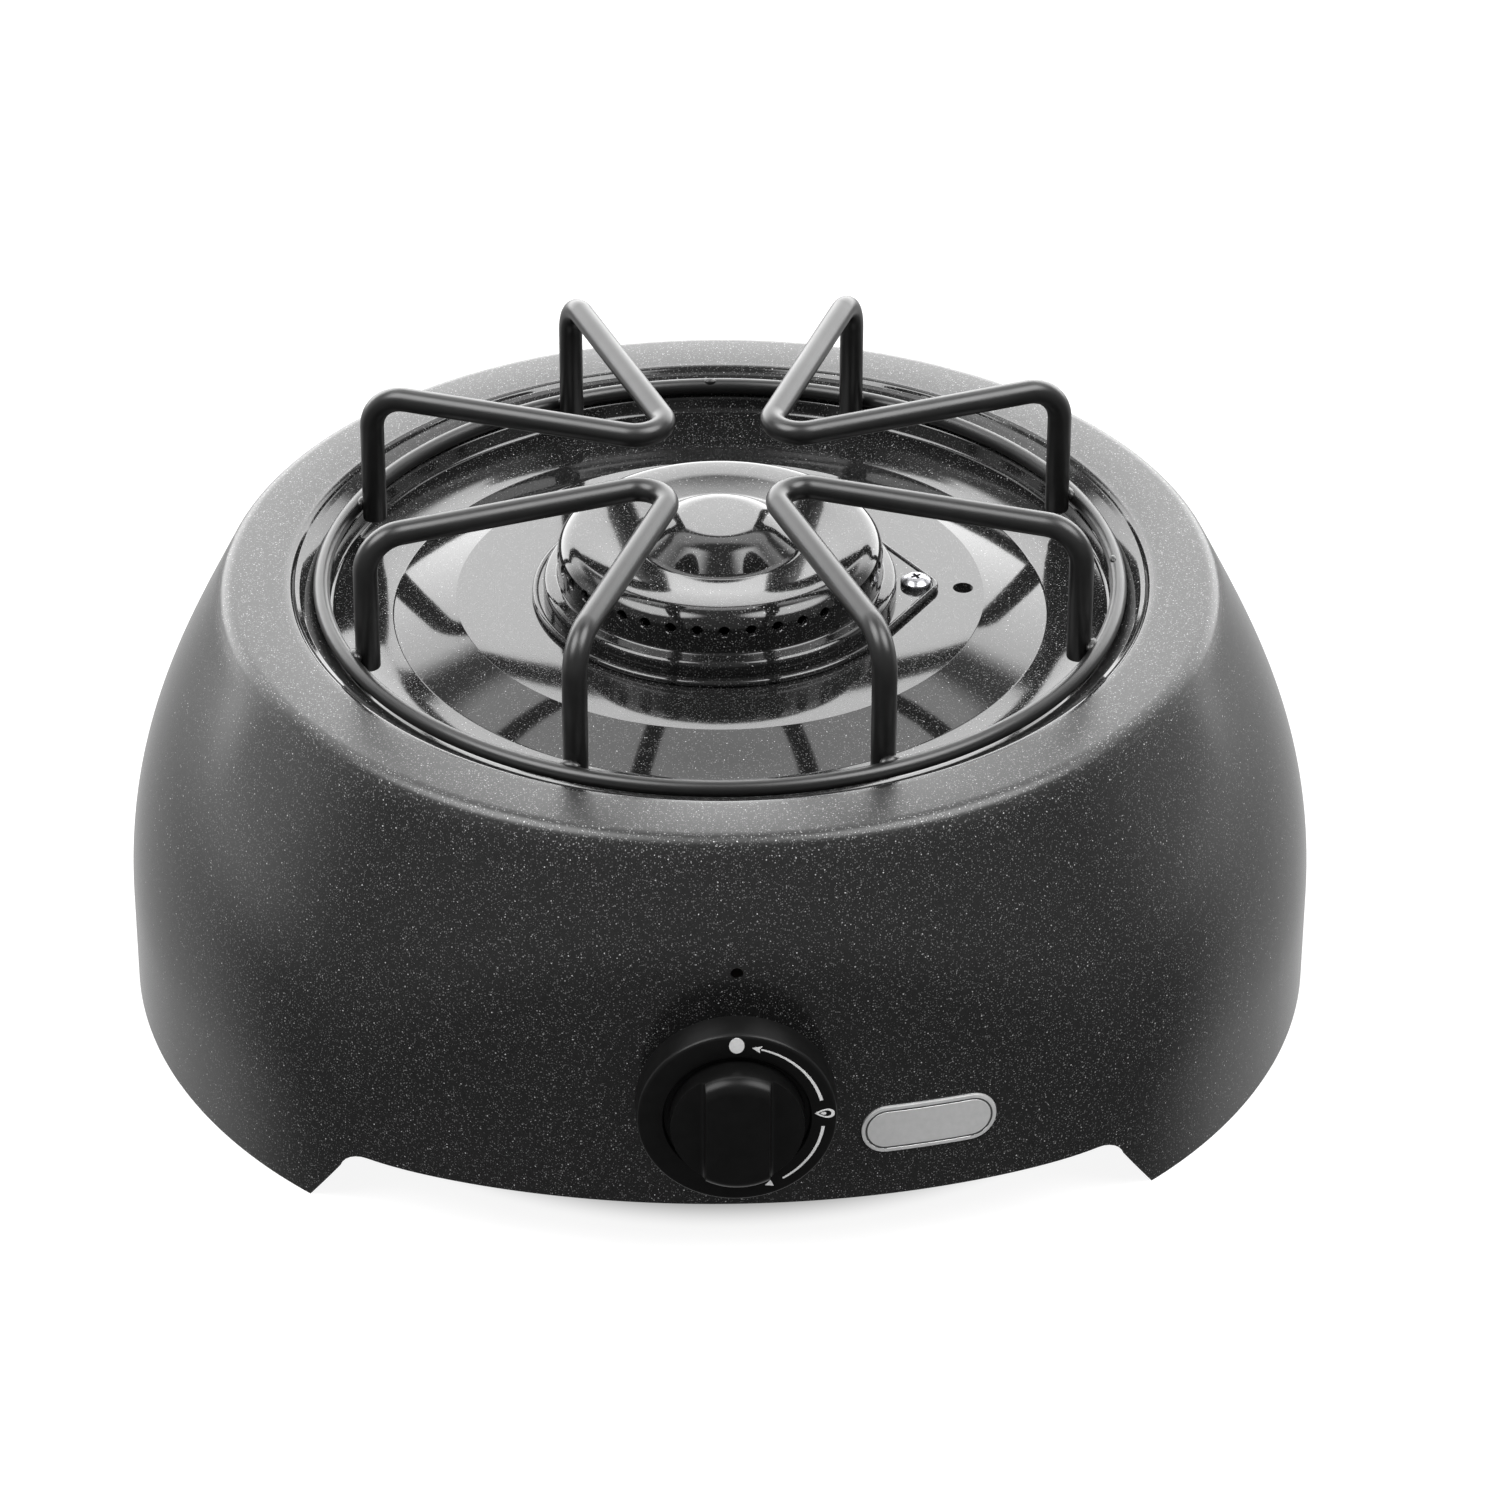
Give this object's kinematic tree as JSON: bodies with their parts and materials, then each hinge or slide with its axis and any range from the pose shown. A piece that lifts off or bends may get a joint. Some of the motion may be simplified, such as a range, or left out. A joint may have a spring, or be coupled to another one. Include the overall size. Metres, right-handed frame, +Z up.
{
  "type": "tabletop gas stove",
  "caption": "Round tabletop gas stove with a domed enamelled body, a pressed burner in a sunk deck, a lift-off wire pan support, a push-and-turn knob and a hose nipple.",
  "frame": {"origin": "on the table, below the burner axis, which is the middle of the body", "axes": "+Z up along the burner axis, -Y towards the user and the knob, +X to the user's right"},
  "size_m": [0.296, 0.3164, 0.1427],
  "materials": {
    "enamel": "glossy speckled vitreous enamel",
    "wire_black": "satin black heat-proof coating",
    "knob_black": "moulded, satin to gloss",
    "brass": "turned, plain",
    "steel": "zinc plated",
    "bright_steel": "bright plated",
    "rubber": "matte",
    "plate": "blank, satin"
  },
  "bodies": {
    "stove": {"body_shell": "enamel", "name_plate": "plate", "burner_bowl": "enamel", "burner_cap": "enamel", "burner_screw": "bright_steel", "burner_nut": "steel", "mixing_tube": "steel", "injector": "brass", "tap_bracket": "steel", "tap_body": "brass", "tap_bonnet": "brass", "bonnet_screws": "steel", "inlet_pipe": "steel", "union_nut": "brass", "pipe_grommet": "rubber", "hose_nipple": "brass"},
    "tap_rotor": {"tap_plug": "brass"},
    "knob_and_spindle": {"spindle": "steel", "spindle_spring": "steel", "knob": "knob_black", "knob_clip": "steel"},
    "pan_support": {"support_ring": "wire_black", "prong_back_right": "wire_black", "prong_back_left": "wire_black", "prong_front_left": "wire_black", "prong_front_right": "wire_black"}
  },
  "joints": [
    {"name": "knob_turn", "type": "hinge", "parent": "stove", "child": "tap_rotor", "pos_m": [0, -0.11, 0.0504], "axis": [0, -1, 0], "range_deg": [0, 160]},
    {"name": "knob_push", "type": "slide", "parent": "tap_rotor", "child": "knob_and_spindle", "axis": [0, 1, 0], "range_m": [0, 0.003], "stiffness_N_per_m": 1500, "springref_m": -0.002, "deforming": ["spindle_spring"]},
    {"name": "support_lift", "type": "slide", "parent": "stove", "child": "pan_support", "axis": [0, 0, 1], "range_m": [0, 0.06]}
  ]
}
